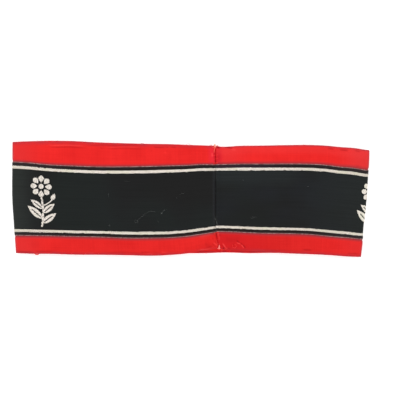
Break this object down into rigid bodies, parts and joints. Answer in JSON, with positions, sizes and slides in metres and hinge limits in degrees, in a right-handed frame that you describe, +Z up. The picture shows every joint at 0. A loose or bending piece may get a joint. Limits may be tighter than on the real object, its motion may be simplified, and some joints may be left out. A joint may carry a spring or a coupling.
{
  "type": "armband",
  "caption": "Flat-lying sewn cloth armband: red cotton loop with hemmed edges under a black woven band with cream stripes, arm opening held slightly open.",
  "frame": {"origin": "middle of the footprint, on the surface that the flattened armband lies on", "axes": "+X along the flattened loop, +Y across the band, +Z up out of the surface, seam side up"},
  "size_m": [0.2432, 0.0789, 0.0114],
  "materials": {
    "red_cotton": "plain-weave cotton, matt, softly creased",
    "black_weave": "close ribbed weave, slight sheen",
    "cream_yarn": "soft cream yarn, matt",
    "red_thread": "sewing thread, matt"
  },
  "bodies": {
    "root": {"base_band": "red_cotton", "woven_band": "black_weave"}
  },
  "joints": []
}
